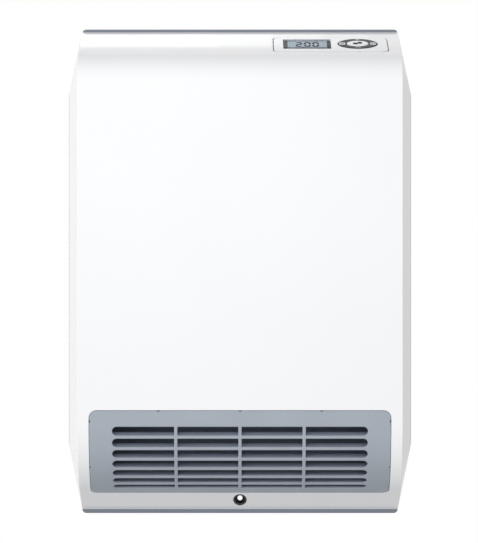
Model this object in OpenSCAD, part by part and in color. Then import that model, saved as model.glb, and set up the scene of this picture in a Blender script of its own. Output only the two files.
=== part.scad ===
// Wall-mounted fan convector heater.
// +X is to the right, -Y is the front, +Z is up. The wall lies in the plane Y = 0, and the
// origin is the point of the wall behind the middle of the heater.

/* [Casing] */
// Width of the flat front strip of the cover
front_w = 304; // [296:1:312]
// Width of the flared rear edge of the cover
rear_w = 330; // [322:1:338]
// Height of the cover's rear edge above the middle
top_z = 230.5; // [226:0.5:234]
// Depth of the cover's rear edge below the middle
bottom_z = 229.3; // [224:0.1:232]
// Depth of the cover from its rear edge to its front plane
cover_d = 100; // [94:1:106]
// Depth of the rear housing's band, from the wall to the cover
band_d = 18; // [17:0.5:20]
// Height of the rear housing
housing_h = 466; // [462:1:470]
// Wall thickness of the cover
cover_t = 2.5; // [2:0.1:3]
// Wall thickness of the rear housing
housing_t = 2.5; // [2:0.1:3]
// Fall of the top face towards the front, in degrees
top_slope = 17.9; // [16:0.1:20]
// Rise of the bottom face towards the front, in degrees
bottom_slope = 22.2; // [20:0.1:23]
// Radius of the bend between top face and front
top_r = 30; // [24:1:36]
// Radius of the bend between front and bottom face
bottom_r = 72; // [70:0.5:74]
// Height of the flared sides' straight edge above the middle
flare_top = 170; // [160:1:176]
// Depth of the flared sides' straight edge below the middle
flare_bottom = 166; // [160:1:172]

/* [Outlet grille] */
// Width of the grille insert
grille_w = 282; // [276:1:288]
// Height of the insert's upper edge, measured from the middle of the heater
grille_top = -130.1; // [-132:0.1:-126]
// Length of the insert on the bottom face, past the end of the bend
grille_run = 10; // [6:0.1:12]
// Corner radius of the insert
grille_corner = 7; // [5:0.5:9]
// Thickness of the insert's skin
grille_t = 2.2; // [1.8:0.1:2.6]
// Number of rows of slots
slot_rows = 7; // [5:1:7]
// Angle of the first row round the bend, in degrees
slot_first = 7.4; // [6:0.1:8]
// Angle between rows, in degrees
slot_step = 9.1; // [8.6:0.05:9.2]
// Height of a slot, measured round the bend
slot_h = 8.3; // [7:0.1:8.6]
// Width of a row of slots, end to end
slot_w = 238; // [220:1:240]
// Distance between the upright bars
bar_pitch = 60; // [50:1:70]
// Width of an upright bar
bar_w = 3.1; // [2.5:0.1:4]
// Depth of the slats behind the skin
slat_depth = 8; // [6:0.5:9]
// Rise of the slats towards the inside, from the horizontal, in degrees
slat_rise = 22; // [15:1:30]

/* [Control panel] */
// Width of the panel insert
panel_w = 108.5; // [104:0.5:112]
// Length of the panel insert down the top face
panel_l = 54; // [50:0.5:56]
// Distance of the panel's centre from the middle of the heater
panel_x = 85.6; // [80:0.1:88]
// Distance of the panel's centre from the cover's rear edge, down the top face
panel_s = 48.9; // [46:0.1:50]
// Distance of the controls' centre line above the panel's centre
controls_v = 2.4; // [0:0.1:4]
// Distance of the window's centre from the panel's centre, to the left
window_x = 21.9; // [20:0.1:23]
// Width of the display window
window_w = 45.4; // [42:0.1:46]
// Length of the display window
window_l = 38; // [34:0.5:40]
// Distance of the ring's centre from the panel's centre, to the right
ring_x = 26.2; // [25:0.1:27]
// Outer radius of the control ring
ring_r = 18.85; // [18:0.05:19]
// Radius of the round button in the ring
select_r = 10.3; // [9:0.1:10.4]
// Distance of the two side buttons from the ring's centre
side_x = 14.6; // [14.4:0.1:14.8]
// Travel of each button
button_travel = 0.6; // [0.4:0.1:0.7]

/* [Fan and heating element] */
// Distance of the fan's axis from the wall
fan_d = 62; // [60:1:64]
// Height of the fan's axis
fan_z = -70; // [-72:1:-68]
// Radius of the fan's impeller
fan_r = 30; // [28:0.5:31]
// Left end of the impeller
fan_left = -118; // [-120:1:-116]
// Right end of the impeller
fan_right = 92; // [90:1:93]
// Number of impeller blades
blades = 24; // [18:1:28]
// Radius of the drive shaft
shaft_r = 2.5; // [2:0.1:3]
// Radius of the bearing stub
stub_r = 2; // [1.5:0.1:2.5]
// Running clearance of the shafts in their bearings
run_gap = 0.05; // [0.02:0.01:0.1]
// Height of the heating wire
element_z = -121.5; // [-122:0.5:-121]
// Number of straight runs of the heating wire
wire_runs = 10; // [6:2:10]

/* [Wall fixing] */
// Distance between the wall screws, across
fix_x = 200; // [160:5:200]
// Distance between the wall screws, up and down
fix_z = 40; // [30:5:40]
// Radius of the wall screws' holes
fix_r = 2.75; // [2.5:0.05:3]
// Height of the wall bracket's middle
bracket_z = 150; // [140:5:150]
// Height of the locking screw's hole
lock_z = -218.4; // [-220:0.1:-216]
// Radius of the locking screw's hole
lock_r = 2.4; // [2:0.1:2.6]
// Outer radius of the locking screw's tunnel
tunnel_r = 6.1; // [5.8:0.1:6.4]
// Inner radius of the locking screw's tunnel
tunnel_bore_r = 4.9; // [4.6:0.1:5]
// Radius of the supply cable's hole in the grommet
cable_r = 4; // [3:0.25:5]

/* [Hidden] */
$fn = 64;

gap = 0.3;
panel_gap = 0.6;
sill_gap = 0.1;
eps = 0.01;
rear_y = -band_d;
front_y = -(band_d + cover_d);
front_half = front_w / 2;
rear_half = rear_w / 2;

// Centres of the two bends, from the faces that they touch
top_cy = front_y + top_r;
top_cz = top_z + (top_cy - rear_y) * tan(top_slope) - top_r / cos(top_slope);
low_cy = front_y + bottom_r;
low_cz = -bottom_z - (low_cy - rear_y) * tan(bottom_slope) + bottom_r / cos(bottom_slope);
low_sweep = 90 - bottom_slope;

// The panel's centre on the top face
panel_y = rear_y - panel_s * cos(top_slope);
panel_z = top_z - panel_s * sin(top_slope);

fan_y = -fan_d;
plate_t = 1.5;
sheet_t = 1.2;
left_plate_x = -124;
right_plate_x = 96;
duct_half = 124;
motor_x = 126;
rotor_r = 10.9;
board_n = -13;
board_t = 1.6;
under_board_n = board_n - board_t;
plunger_n = board_n + 4;
panel_corner = 6;
// Width and length of the two side keys
side_key = [6.1, 9.5];
power_y = -32.4;
power_x = 45;
power_z = 85;
power_w = 130;
power_h = 90;
duct_top = -112;
blower_screw_z = [-106, -40];
hub_depth = 6;
hook_x = 60;
hook_w = 20;
hook_z = bracket_z + 19;
tunnel_front_y = -80;
grommet_r = 7.95;
cable_x = 135;
cable_z = -165;
cover_screw_x = 156.5;
cover_screw_z = 150;
cover_boss_h = 26;
white = [0.96, 0.96, 0.97];
blue_grey = [0.6, 0.64, 0.68];
dark_blue_grey = [0.44, 0.46, 0.5];
dark_grey = [0.24, 0.25, 0.27];
steel = [0.75, 0.76, 0.78];
board_green = [0.1, 0.36, 0.22];
copper = [0.72, 0.42, 0.2];
mica = [0.78, 0.7, 0.55];

function arc(cy, cz, r, from, to, steps) =
    [for (i = [0:steps]) let (a = from + (to - from) * i / steps) [cy + r * cos(a), cz + r * sin(a)]];

// Side profile of the cover, moved inwards by inset: rear edge, top bend, front, bottom bend
function cover_outline(inset) = concat(
    [[rear_y, top_z - inset / cos(top_slope)]],
    arc(top_cy, top_cz, top_r - inset, 90 + top_slope, 180, 14),
    arc(low_cy, low_cz, bottom_r - inset, 180, 180 + low_sweep, 26),
    [[rear_y, -bottom_z + inset / cos(bottom_slope)]]);

// Rear edge of the cover, seen from the front
function flare_outline(inset) = [
    [-front_half + inset, top_z - inset], [front_half - inset, top_z - inset],
    [rear_half - inset, flare_top], [rear_half - inset, -flare_bottom],
    [front_half - inset, -bottom_z + inset], [-front_half + inset, -bottom_z + inset],
    [-rear_half + inset, -flare_bottom], [-rear_half + inset, flare_top]];

// Draws a (Y, Z) outline as a body along X, centred on x
module along_x(length, x = 0) {
    translate([x - length / 2, 0, 0]) rotate([90, 0, 90]) linear_extrude(length) children();
}

// Draws an (X, Z) outline as a plate from y1 forwards to y0
module along_y(y0, y1) {
    translate([0, y1, 0]) rotate([90, 0, 0]) linear_extrude(y1 - y0) children();
}

// Places children on the top face: X across, Y up the slope, Z out of the face
module on_panel(x = 0, v = 0) {
    translate([panel_x, panel_y, panel_z]) rotate([top_slope, 0, 0]) translate([x, v, 0]) children();
}

// Places children on the bottom bend at an angle round it: X across, Y up the bend, Z outwards
module on_bend(angle) {
    translate([0, low_cy, low_cz]) rotate([90 + angle, 0, 0]) translate([0, 0, bottom_r]) children();
}

module rounded(w, l, r) {
    union() {
        square([w - 2 * r, l], center = true);
        square([w, l - 2 * r], center = true);
        for (x = [-1, 1], y = [-1, 1]) translate([x * (w / 2 - r), y * (l / 2 - r)]) circle(r);
    }
}

module rod_x(r, x0, x1, y, z) {
    translate([x0, y, z]) rotate([0, 90, 0]) cylinder(h = x1 - x0, r = r);
}

module rod_y(r, y0, y1, x, z) {
    translate([x, y1, z]) rotate([90, 0, 0]) cylinder(h = y1 - y0, r = r);
}

module block(x0, x1, y0, y1, z0, z1) {
    translate([x0, y0, z0]) cube([x1 - x0, y1 - y0, z1 - z0]);
}

// A round tube swept along points, with rings square to the mean direction
function unit(v) = v / norm(v);
function heading(p, i) = unit(p[min(i + 1, len(p) - 1)] - p[max(i - 1, 0)]);
function bezier(a, b, c, d, t) =
    a * pow(1 - t, 3) + 3 * b * pow(1 - t, 2) * t + 3 * c * (1 - t) * pow(t, 2) + d * pow(t, 3);
function curve(a, b, c, d, steps = 10) = [for (i = [0:steps]) bezier(a, b, c, d, i / steps)];
module tube(p, r, up = [0, 1, 0], sides = 8, wide = 1) {
    rings = [for (i = [0:len(p) - 1])
        let (t = heading(p, i), u = unit(cross(t, up)), v = cross(u, t))
        for (k = [0:sides - 1])
            p[i] + r * (wide * cos(k * 360 / sides) * u + sin(k * 360 / sides) * v)];
    walls = [for (i = [0:len(p) - 2], k = [0:sides - 1])
        let (a = i * sides, m = (k + 1) % sides) [a + k, a + m, a + sides + m, a + sides + k]];
    start = [for (k = [sides - 1:-1:0]) k];
    end = [for (k = [0:sides - 1]) (len(p) - 1) * sides + k];
    polyhedron(rings, concat(walls, [start, end]), convexity = 4);
}

// ---- Casing ----

module cover_body(inset, rear_extra) {
    hull() {
        along_x(front_w - 2 * inset) polygon(cover_outline(inset));
        along_y(rear_y - eps, rear_y + rear_extra) polygon(flare_outline(inset));
    }
}

// Space of the grille insert, grown by margin on every side: front part, bend, bottom part
module grille_space(margin) {
    w = grille_w + 2 * margin;
    r = grille_corner + margin;
    reach = 14;
    upper_l = 120;
    lower_l = 40;
    intersection() {
        along_y(front_y - reach, low_cy - reach) translate([0, grille_top + margin - upper_l / 2])
            rounded(w, upper_l, r);
        along_x(w + 2) polygon([[low_cy, low_cz + upper_l / 2], [front_y - reach, low_cz + upper_l / 2],
            [front_y - reach, low_cz - reach], [low_cy, low_cz]]);
    }
    along_x(w) polygon([[low_cy, low_cz], [low_cy - 2 * bottom_r, low_cz],
        [low_cy + 2 * bottom_r * cos(180 + low_sweep), low_cz + 2 * bottom_r * sin(180 + low_sweep)]]);
    on_bend(low_sweep) translate([0, lower_l / 2 - grille_run - margin, -2 * reach])
        linear_extrude(3 * reach) rounded(w, lower_l, r);
}

// Screw bosses in the corners, each held to the side wall by a web
module cover_bosses() {
    boss_r = 4;
    web_t = 2.5;
    foot_y = rear_y - housing_t - gap;
    head_y = rear_y - cover_boss_h;
    wall_at_foot = rear_half - cover_t / 2;
    wall_at_head = rear_half - cover_t / 2 - (rear_half - front_half) * cover_boss_h / cover_d;
    for (x = [-1, 1], z = [-1, 1]) {
        rod_y(boss_r, head_y, foot_y, x * cover_screw_x, z * cover_screw_z);
        translate([0, 0, z * cover_screw_z - web_t / 2]) linear_extrude(web_t) polygon([
            [x * cover_screw_x, foot_y], [x * wall_at_foot, foot_y],
            [x * wall_at_head, head_y], [x * cover_screw_x, head_y]]);
    }
}

// Room in the cover's bottom face for the sill around the locking screw's tunnel
module sill_space(margin) {
    half_w = 22 + margin;
    reach = 60 + margin;
    block(-half_w, half_w, rear_y - reach, rear_y + 1, -bottom_z - 1, -bottom_z + 35);
}

module front_cover() {
    pilot_r = 1.3;
    pilot_l = 20;
    color(white) difference() {
        union() {
            difference() {
                cover_body(0, 0);
                cover_body(cover_t, 2);
            }
            cover_bosses();
        }
        grille_space(gap);
        sill_space(sill_gap);
        on_panel() translate([0, 0, -12]) linear_extrude(20)
            rounded(panel_w + 2 * panel_gap, panel_l + 2 * panel_gap, panel_corner + panel_gap);
        for (x = [-1, 1], z = [-1, 1])
            rod_y(pilot_r, rear_y - pilot_l, rear_y, x * cover_screw_x, z * cover_screw_z);
    }
}

// Middle of the cover's bottom face, between the outlet and the rear edge
module cover_sill() {
    color(white) difference() {
        intersection() {
            cover_body(0, 0);
            sill_space(0);
        }
        cover_body(cover_t, 2);
        grille_space(gap);
        rod_y(tunnel_r + gap, tunnel_front_y, rear_y + 1, 0, lock_z);
    }
}

module bend_band(inner, outer) {
    difference() {
        polygon(cover_outline(inner));
        polygon(cover_outline(outer));
    }
}

module slot_cut(angle) {
    r = slot_h / 2;
    on_bend(angle) translate([0, 0, -grille_t - 4]) linear_extrude(grille_t + 8) {
        square([slot_w - 2 * r, slot_h], center = true);
        for (x = [-1, 1]) translate([x * (slot_w / 2 - r), 0]) circle(r);
    }
}

module outlet_grille() {
    slat_half = slot_w / 2 + 2;
    slat_t = 1.4;
    bar_end = 246;
    // angle from a slot's centre to the middle of the lip below it
    lip_angle = (slot_h / 2 + 0.9) * 180 / (PI * bottom_r);
    color(blue_grey) union() {
        difference() {
            intersection() {
                along_x(grille_w) bend_band(0, grille_t);
                grille_space(0);
            }
            for (i = [0:slot_rows - 1]) slot_cut(slot_first + i * slot_step);
        }
        for (x = [-1:1]) intersection() {
            along_x(bar_w, x * bar_pitch) bend_band(0, slat_depth);
            along_x(bar_w + 2, x * bar_pitch) polygon([[low_cy, low_cz], [low_cy - 100, low_cz + 4],
                [low_cy - 100, low_cz - 100], [low_cy + 100 * cos(bar_end), low_cz + 100 * sin(bar_end)]]);
        }
        for (i = [0:slot_rows - 1]) {
            angle = slot_first + i * slot_step + lip_angle;
            on_bend(angle) translate([-slat_half, 0, 0.2 - grille_t]) rotate([slat_rise - angle, 0, 0])
                translate([0, -slat_t / 2, -slat_depth]) cube([2 * slat_half, slat_t, slat_depth]);
        }
    }
}

// Ladder of slots behind each flared side, where the room air goes in
module side_intake() {
    slots = 42;
    pitch = 6;
    slot = [6, 8, 3.2];
    for (x = [-1, 1], i = [0:slots - 1])
        translate([x * cover_screw_x, rear_y - 1, (i - (slots - 1) / 2) * pitch]) cube(slot, center = true);
}

module bracket_windows() {
    for (x = [-1, 1]) block(x * hook_x - hook_w / 2 - 2, x * hook_x + hook_w / 2 + 2,
        rear_y - 2, rear_y + 4, hook_z - 3, hook_z + 13);
}

module back_ribs() {
    rib_t = 1.6;
    rib_y = [rear_y + housing_t - 1, rear_y + housing_t + 6];
    rib_z = 205;
    rib_x = 140;
    for (x = [-95, -30, 30, 95]) block(x - rib_t / 2, x + rib_t / 2, rib_y[0], rib_y[1], -rib_z, rib_z);
    for (z = [-100, 0, 100]) block(-rib_x, rib_x, rib_y[0], rib_y[1], z - rib_t / 2, z + rib_t / 2);
}

module rear_housing() {
    corner_r = 4;
    lip_inset = cover_t + 1.6;
    lip_in = [front_w - 10, 2 * top_z - 17];
    root = [front_w - 0.5, 2 * top_z - 14];
    lip_y = rear_y - housing_t;
    standoff_r = 3.5;
    color(dark_blue_grey) difference() {
        union() {
            // tray that stands on the wall
            difference() {
                along_y(rear_y, 0) rounded(front_w, housing_h, corner_r);
                along_y(rear_y + housing_t, 1)
                    rounded(front_w - 2 * housing_t, housing_h - 2 * housing_t, corner_r / 2);
            }
            // lip that fills the cover's rear edge, and the root that joins it to the tray
            difference() {
                union() {
                    along_y(lip_y, rear_y) polygon(flare_outline(lip_inset));
                    along_y(lip_y, rear_y + 1) intersection() {
                        square(root, center = true);
                        polygon(flare_outline(lip_inset));
                    }
                }
                along_y(lip_y - 1, rear_y + 2) square(lip_in, center = true);
            }
            back_ribs();
            on_power_board_holes() rod_y(standoff_r, power_y, rear_y + 1, 0, 0);
        }
        side_intake();
        bracket_windows();
        rod_y(lock_r, 2 * rear_y, 0, 0, lock_z);
        rod_y(tunnel_r + run_gap, 2 * rear_y, rear_y, 0, lock_z);
        rod_y(grommet_r + run_gap, 2 * rear_y, 0, cable_x, cable_z);
        for (x = [-1, 1], z = [-1, 1])
            rod_y(1.9, 2 * rear_y, 0, x * cover_screw_x, z * cover_screw_z);
        on_power_board_holes() rod_y(1.25, power_y - 1, rear_y + housing_t + 1, 0, 0);
    }
}

module wall_bracket() {
    half_w = 120;
    half_h = 30;
    flange = 8;
    hook_y = rear_y - 2.5;
    hook_rise = 11;
    color(steel) difference() {
        union() {
            block(-half_w, half_w, -plate_t, 0, bracket_z - half_h, bracket_z + half_h);
            block(-half_w, half_w, -flange, 0, bracket_z - half_h, bracket_z - half_h + plate_t);
            for (x = [-hook_x, hook_x]) {
                block(x - hook_w / 2, x + hook_w / 2, hook_y, -0.5, hook_z, hook_z + plate_t);
                block(x - hook_w / 2, x + hook_w / 2, hook_y, hook_y + plate_t, hook_z, hook_z + hook_rise);
            }
        }
        for (x = [-1, 1], z = [-1, 1])
            rod_y(fix_r, -5, 1, x * fix_x / 2, bracket_z + z * fix_z / 2);
    }
}

module screw_tunnel() {
    end_t = 1.5;
    cut = [40, 90, 30];
    color(dark_grey) difference() {
        rod_y(tunnel_r, tunnel_front_y, rear_y, 0, lock_z);
        rod_y(tunnel_bore_r, tunnel_front_y - 1, rear_y - end_t, 0, lock_z);
        rod_y(lock_r + 0.2, tunnel_front_y - 1, rear_y + 1, 0, lock_z);
        translate([-cut[0] / 2, rear_y, -bottom_z]) rotate([-bottom_slope, 0, 0])
            translate([0, -cut[1], -cut[2]]) cube(cut);
    }
}

module pan_screw(r, shank, head_r, head_h) {
    cylinder(h = shank, r = r);
    cross = [head_r * 1.3, 0.7, 1.2];
    translate([0, 0, -head_h]) difference() {
        cylinder(h = head_h, r = head_r);
        for (a = [0, 90]) rotate([0, 0, a]) translate([0, 0, 0.3]) cube(cross, center = true);
    }
}

module cover_screws() {
    color(steel) for (x = [-1, 1], z = [-1, 1])
        translate([x * cover_screw_x, rear_y, z * cover_screw_z]) rotate([90, 0, 0])
            pan_screw(1.25, 16, 2.8, 2.2);
}

module cable_grommet() {
    flange_r = grommet_r + 2.2;
    flange_t = 1.5;
    plate_back = rear_y + housing_t;
    color(dark_grey) difference() {
        union() {
            rod_y(grommet_r, rear_y - 1, plate_back + 1, cable_x, cable_z);
            rod_y(flange_r, rear_y - flange_t, rear_y, cable_x, cable_z);
            rod_y(flange_r, plate_back, plate_back + flange_t, cable_x, cable_z);
        }
        rod_y(cable_r, 2 * rear_y, 0, cable_x, cable_z);
    }
}

// ---- Control panel ----

module stadium(w, l) {
    square([w, l - w], center = true);
    for (y = [-1, 1]) translate([0, y * (l - w) / 2]) circle(w / 2);
}

// The ring's hinge pins, and the posts that hold the control board
pin_r = 1;
pin_n = -3.4;
post_x = 50.5;
post_v = 20;
post_r = 2.5;
flange_n = -4.5;
ring_bottom_n = -4.6;
key_bottom_n = -4.2;
stem_n = plunger_n + button_travel + 0.1;

module on_posts() {
    for (x = [-1, 1], v = [-1, 1]) on_panel(x * post_x, v * post_v) children();
}

module control_panel() {
    plate_n = -3;
    pin_block = [3.4, 5, 3.5];
    color(white) difference() {
        union() {
            on_panel() translate([0, 0, plate_n]) linear_extrude(-plate_n)
                rounded(panel_w, panel_l, panel_corner);
            on_panel() translate([0, 0, flange_n]) linear_extrude(1.7) rounded(panel_w + 7.5, panel_l + 6, 7);
            for (x = [-1, 1]) on_panel(ring_x + x * (ring_r + 2.45), controls_v)
                translate([-pin_block[0] / 2, -pin_block[1] / 2, flange_n - 1]) cube(pin_block);
            on_posts() translate([0, 0, board_n]) cylinder(h = flange_n - board_n + 0.5, r = post_r);
        }
        on_panel(-window_x, controls_v) translate([0, 0, -6]) linear_extrude(8) rounded(window_w, window_l, 1);
        on_panel(ring_x, controls_v) translate([0, 0, -6]) cylinder(h = 8, r = ring_r + gap);
        on_panel(ring_x, controls_v) translate([0, 0, pin_n]) rotate([0, 90, 0])
            cylinder(h = 50, r = pin_r + run_gap, center = true);
        on_posts() translate([0, 0, board_n - 1]) cylinder(h = 8, r = 1.2);
    }
}

module display_lens() {
    color([0.7, 0.75, 0.8, 0.5]) on_panel(-window_x, controls_v) translate([0, 0, -1.7])
        linear_extrude(1.6) rounded(window_w - 0.2, window_l - 0.2, 0.9);
}

module lcd_module() {
    glass_n = -4.8;
    glass_t = 2.8;
    color([0.62, 0.69, 0.72]) on_panel(-window_x, controls_v) {
        translate([0, 0, glass_n]) linear_extrude(glass_t)
            square([window_w - 0.8, window_l - 0.8], center = true);
        translate([0, 0, board_n]) linear_extrude(glass_n - board_n + 0.2)
            square([window_w + 3.6, window_l + 5], center = true);
    }
}

// The ring tips about its two pins; its side pockets hold the side buttons
module control_ring() {
    top_n = 0.5;
    pin_end = ring_r + 2.05;
    pocket = [side_key[0] + 0.6, side_key[1] + 0.6];
    color(dark_grey) on_panel(ring_x, controls_v) difference() {
        union() {
            translate([0, 0, ring_bottom_n]) cylinder(h = top_n - ring_bottom_n, r = ring_r);
            for (x = [-1, 1]) translate([x * (pin_end - 1.5), 0, pin_n]) rotate([0, 90, 0])
                cylinder(h = 3, r = pin_r, center = true);
            for (v = [-1, 1]) translate([0, v * side_x, stem_n]) cylinder(h = 5, r = 1.5);
        }
        translate([0, 0, -6]) cylinder(h = 8, r = select_r + gap);
        for (x = [-1, 1]) translate([x * side_x, 0, -6]) linear_extrude(8) stadium(pocket[0], pocket[1]);
    }
}

module select_button() {
    top_n = 0.7;
    color(white) on_panel(ring_x, controls_v) {
        translate([0, 0, key_bottom_n]) cylinder(h = top_n - key_bottom_n, r = select_r);
        translate([0, 0, stem_n]) cylinder(h = key_bottom_n - stem_n + 1, r = 1.8);
    }
}

module side_button() {
    top_n = 0.5;
    translate([0, 0, key_bottom_n]) linear_extrude(top_n - key_bottom_n) stadium(side_key[0], side_key[1]);
    translate([0, 0, stem_n]) cylinder(h = key_bottom_n - stem_n + 1, r = 1.6);
}

module menu_button() {
    color(white) on_panel(ring_x - side_x, controls_v) side_button();
}

module power_button() {
    color(white) on_panel(ring_x + side_x, controls_v) side_button();
}

module tact_switches() {
    body = [6, 6, plunger_n - board_n - 0.5];
    color(dark_grey) for (p = [[0, 0], [-1, 0], [1, 0], [0, -1], [0, 1]])
        on_panel(ring_x + p[0] * side_x, controls_v + p[1] * side_x) {
            translate([-body[0] / 2, -body[1] / 2, board_n]) cube(body);
            translate([0, 0, board_n + 1]) cylinder(h = plunger_n - board_n - 1, r = 1.7);
        }
}

module control_board() {
    board = [106, 46, board_t];
    color(board_green) difference() {
        on_panel() translate([-board[0] / 2, -board[1] / 2, board_n - board_t]) cube(board);
        on_posts() translate([0, 0, board_n - 3]) cylinder(h = 5, r = 1.3);
    }
}

module controller_chip() {
    side = 12;
    legs = 8;
    leg_pitch = 1.4;
    body_n = under_board_n - 1.8;
    color([0.12, 0.12, 0.13]) on_panel(-20, -2) {
        translate([-side / 2, -side / 2, body_n]) cube([side, side, 1.5]);
        for (s = [-1, 1], i = [0:legs - 1]) {
            along = (i - (legs - 1) / 2) * leg_pitch - 0.25;
            translate([s * 6.5 - 0.6, along, under_board_n - 1.3]) cube([1.2, 0.5, 1.3]);
            translate([along, s * 6.5 - 0.6, under_board_n - 1.3]) cube([0.5, 1.2, 1.3]);
        }
    }
}

module alarm_buzzer() {
    height = 6;
    color([0.1, 0.1, 0.1]) on_panel(12, 8) translate([0, 0, under_board_n - height]) difference() {
        cylinder(h = height, r = 6);
        translate([0, 0, -1]) cylinder(h = 3, r = 1);
    }
}

module board_screws() {
    color(steel) on_posts() translate([0, 0, under_board_n]) pan_screw(1.15, 6.5, 2.2, 1.5);
}

// ---- Power electronics ----

board_front = power_y - board_t;
plug_y = board_front - 4;
plug_z = 43;
lead_end_z = plug_z - 0.3;
fuse_y = -100.5;
tongue_front = fan_y - fan_r - 5.2;
sensor_plug_z = 60;
ribbon_plug_z = 129;
ribbon_x = 50;
sensor_x = -141;
sensor_y = -30;

module on_power_board_holes() {
    edge = 5;
    for (x = [-1, 1], z = [-1, 1])
        translate([power_x + x * (power_w / 2 - edge), 0, power_z + z * (power_h / 2 - edge)]) children();
}

module power_board() {
    color(board_green) difference() {
        block(power_x - power_w / 2, power_x + power_w / 2, board_front, power_y,
            power_z - power_h / 2, power_z + power_h / 2);
        on_power_board_holes() rod_y(1.6, board_front - 1, power_y + 1, 0, 0);
    }
}

module power_board_screws() {
    color(steel) on_power_board_holes() translate([0, board_front, 0]) rotate([-90, 0, 0])
        pan_screw(1.2, 9, 2.6, 1.8);
}

module relays() {
    size = [16, 16, 20];
    color([0.16, 0.3, 0.55]) for (x = [60, 82]) translate([x, board_front - size[1], 52]) cube(size);
}

module transformer() {
    core = [32, 20, 26];
    winding = [24, 24, 20];
    corner = [-12, 96];
    color([0.2, 0.2, 0.22]) {
        translate([corner[0], board_front - core[1], corner[1]]) cube(core);
        translate([corner[0] + 4, board_front - winding[1], corner[1] + 3]) cube([winding[0], 5, winding[2]]);
    }
}

module capacitor() {
    color([0.25, 0.28, 0.4]) rod_y(7, board_front - 22, board_front, 38, 108);
}

module mains_fuse() {
    fuse_x = [61, 83];
    clip = 4;
    height = 112;
    color([0.85, 0.85, 0.82]) {
        rod_x(2.6, fuse_x[0] + 1, fuse_x[1] - 1, board_front - 6, height);
        for (x = [fuse_x[0], fuse_x[1] - clip])
            block(x, x + clip, board_front - 9, board_front, height - 3.6, height + 3.6);
    }
}

// Sockets that the internal leads plug into
module wire_connectors() {
    depth = 8;
    color([0.9, 0.88, 0.82]) {
        for (x = [[83.5, 101.5], [67.5, 80.5], [47.5, 60.5]])
            block(x[0], x[1], board_front - depth, board_front, plug_z, plug_z + 7);
        block(-20, -12, board_front - depth, board_front, sensor_plug_z - 4, sensor_plug_z + 4);
        block(30, 50, board_front - depth, board_front, 122, ribbon_plug_z);
        on_panel(ribbon_x - panel_x, 0) translate([-6, -4, under_board_n - 7.4]) cube([12, 8, 7.4]);
    }
}

module terminal_block() {
    poles = 3;
    pitch = 11.5;
    first_z = -135;
    color([0.88, 0.88, 0.84]) difference() {
        block(126.5, 146.5, -36, rear_y, -141, -106);
        for (i = [0:poles - 1]) {
            rod_y(2.4, -37, -27, 136.5, first_z + i * pitch);
            rod_x(2, 140, 148, -24, first_z + i * pitch);
        }
    }
}

// ---- Blower ----

module end_plate_outline(hole_r) {
    front = -101;
    height = 84;
    difference() {
        translate([front, duct_top]) square([rear_y - front, height]);
        translate([fan_y, fan_z]) circle(hole_r);
    }
}

module end_plate(x, foot_side, hole_r) {
    foot_x = x + foot_side * 6;
    along_x(plate_t, x) end_plate_outline(hole_r);
    for (z = blower_screw_z) difference() {
        block(foot_x - 6, foot_x + 6, rear_y - plate_t, rear_y, z - 7, z + 7);
        rod_y(2, rear_y - 5, rear_y + 1, x + foot_side * 7, z);
    }
}

module left_end_plate() {
    color(steel) end_plate(left_plate_x + plate_t / 2, -1, 9);
}

module right_end_plate() {
    color(steel) end_plate(right_plate_x + plate_t / 2, 1, 9);
}

// Screw heads with a short shank in the feet of the end plates
module blower_screws() {
    head_t = 2;
    color(steel) for (x = [left_plate_x + plate_t / 2 - 7, right_plate_x + plate_t / 2 + 7], z = blower_screw_z)
        translate([x, rear_y - plate_t, z]) rotate([-90, 0, 0]) {
            cylinder(h = plate_t, r = 1.9);
            translate([0, 0, -head_t]) cylinder(h = head_t, r = 3.4);
        }
}

scroll_x0 = left_plate_x + plate_t;
scroll_len = right_plate_x - scroll_x0;
scroll_mid = (right_plate_x + scroll_x0) / 2;

module blower_scroll() {
    inner_r = fan_r + 4;
    tail_angle = -15;
    head_angle = 110;
    far = 60;
    color(steel) along_x(scroll_len, scroll_mid) {
        translate([fan_y, fan_z]) difference() {
            circle(inner_r + sheet_t);
            circle(inner_r);
            polygon([[0, 0], [far * cos(head_angle), far * sin(head_angle)], [-far, far],
                [-far, -far], [far, -far], [far * cos(tail_angle), far * sin(tail_angle)]]);
        }
        translate([fan_y + inner_r * cos(tail_angle), duct_top]) square([sheet_t, 34]);
    }
}

module blower_tongue() {
    tongue_h = 38;
    color(steel) along_x(scroll_len, scroll_mid) {
        translate([tongue_front, duct_top]) square([sheet_t, tongue_h]);
        translate([tongue_front + sheet_t / 2, duct_top + tongue_h]) circle(1.6);
    }
}

module fan_impeller() {
    blade_l = fan_right - fan_left;
    blade = [blade_l, 7.2, 0.8];
    blade_tilt = 32;
    discs = 6;
    disc_t = 1.6;
    disc_pitch = (blade_l - disc_t) / (discs - 1);
    hub_r = 6;
    color([0.35, 0.36, 0.38]) translate([0, fan_y, fan_z]) difference() {
        union() {
            for (i = [0:discs - 1]) translate([fan_left + i * disc_pitch, 0, 0])
                rotate([0, 90, 0]) difference() {
                    cylinder(h = disc_t, r = fan_r);
                    if (i > 0 && i < discs - 1) translate([0, 0, -1]) cylinder(h = 4, r = fan_r - 8);
                }
            for (i = [0:blades - 1]) rotate([i * 360 / blades, 0, 0])
                translate([fan_left + blade_l / 2, fan_r - 4.2, 0]) rotate([blade_tilt, 0, 0])
                    cube(blade, center = true);
            rod_x(hub_r, fan_left, fan_left + 8, 0, 0);
            rod_x(hub_r, fan_right - 8, fan_right + 3, 0, 0);
        }
        rod_x(stub_r, fan_left - 1, fan_left + hub_depth, 0, 0);
        rod_x(shaft_r, fan_right - hub_depth, fan_right + 4, 0, 0);
    }
}

module drive_shaft() {
    color(steel) rod_x(shaft_r, fan_right - hub_depth, motor_x + 18, fan_y, fan_z);
}

module bearing_stub() {
    color(steel) rod_x(stub_r, left_plate_x - 5, fan_left + hub_depth, fan_y, fan_z);
}

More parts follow.
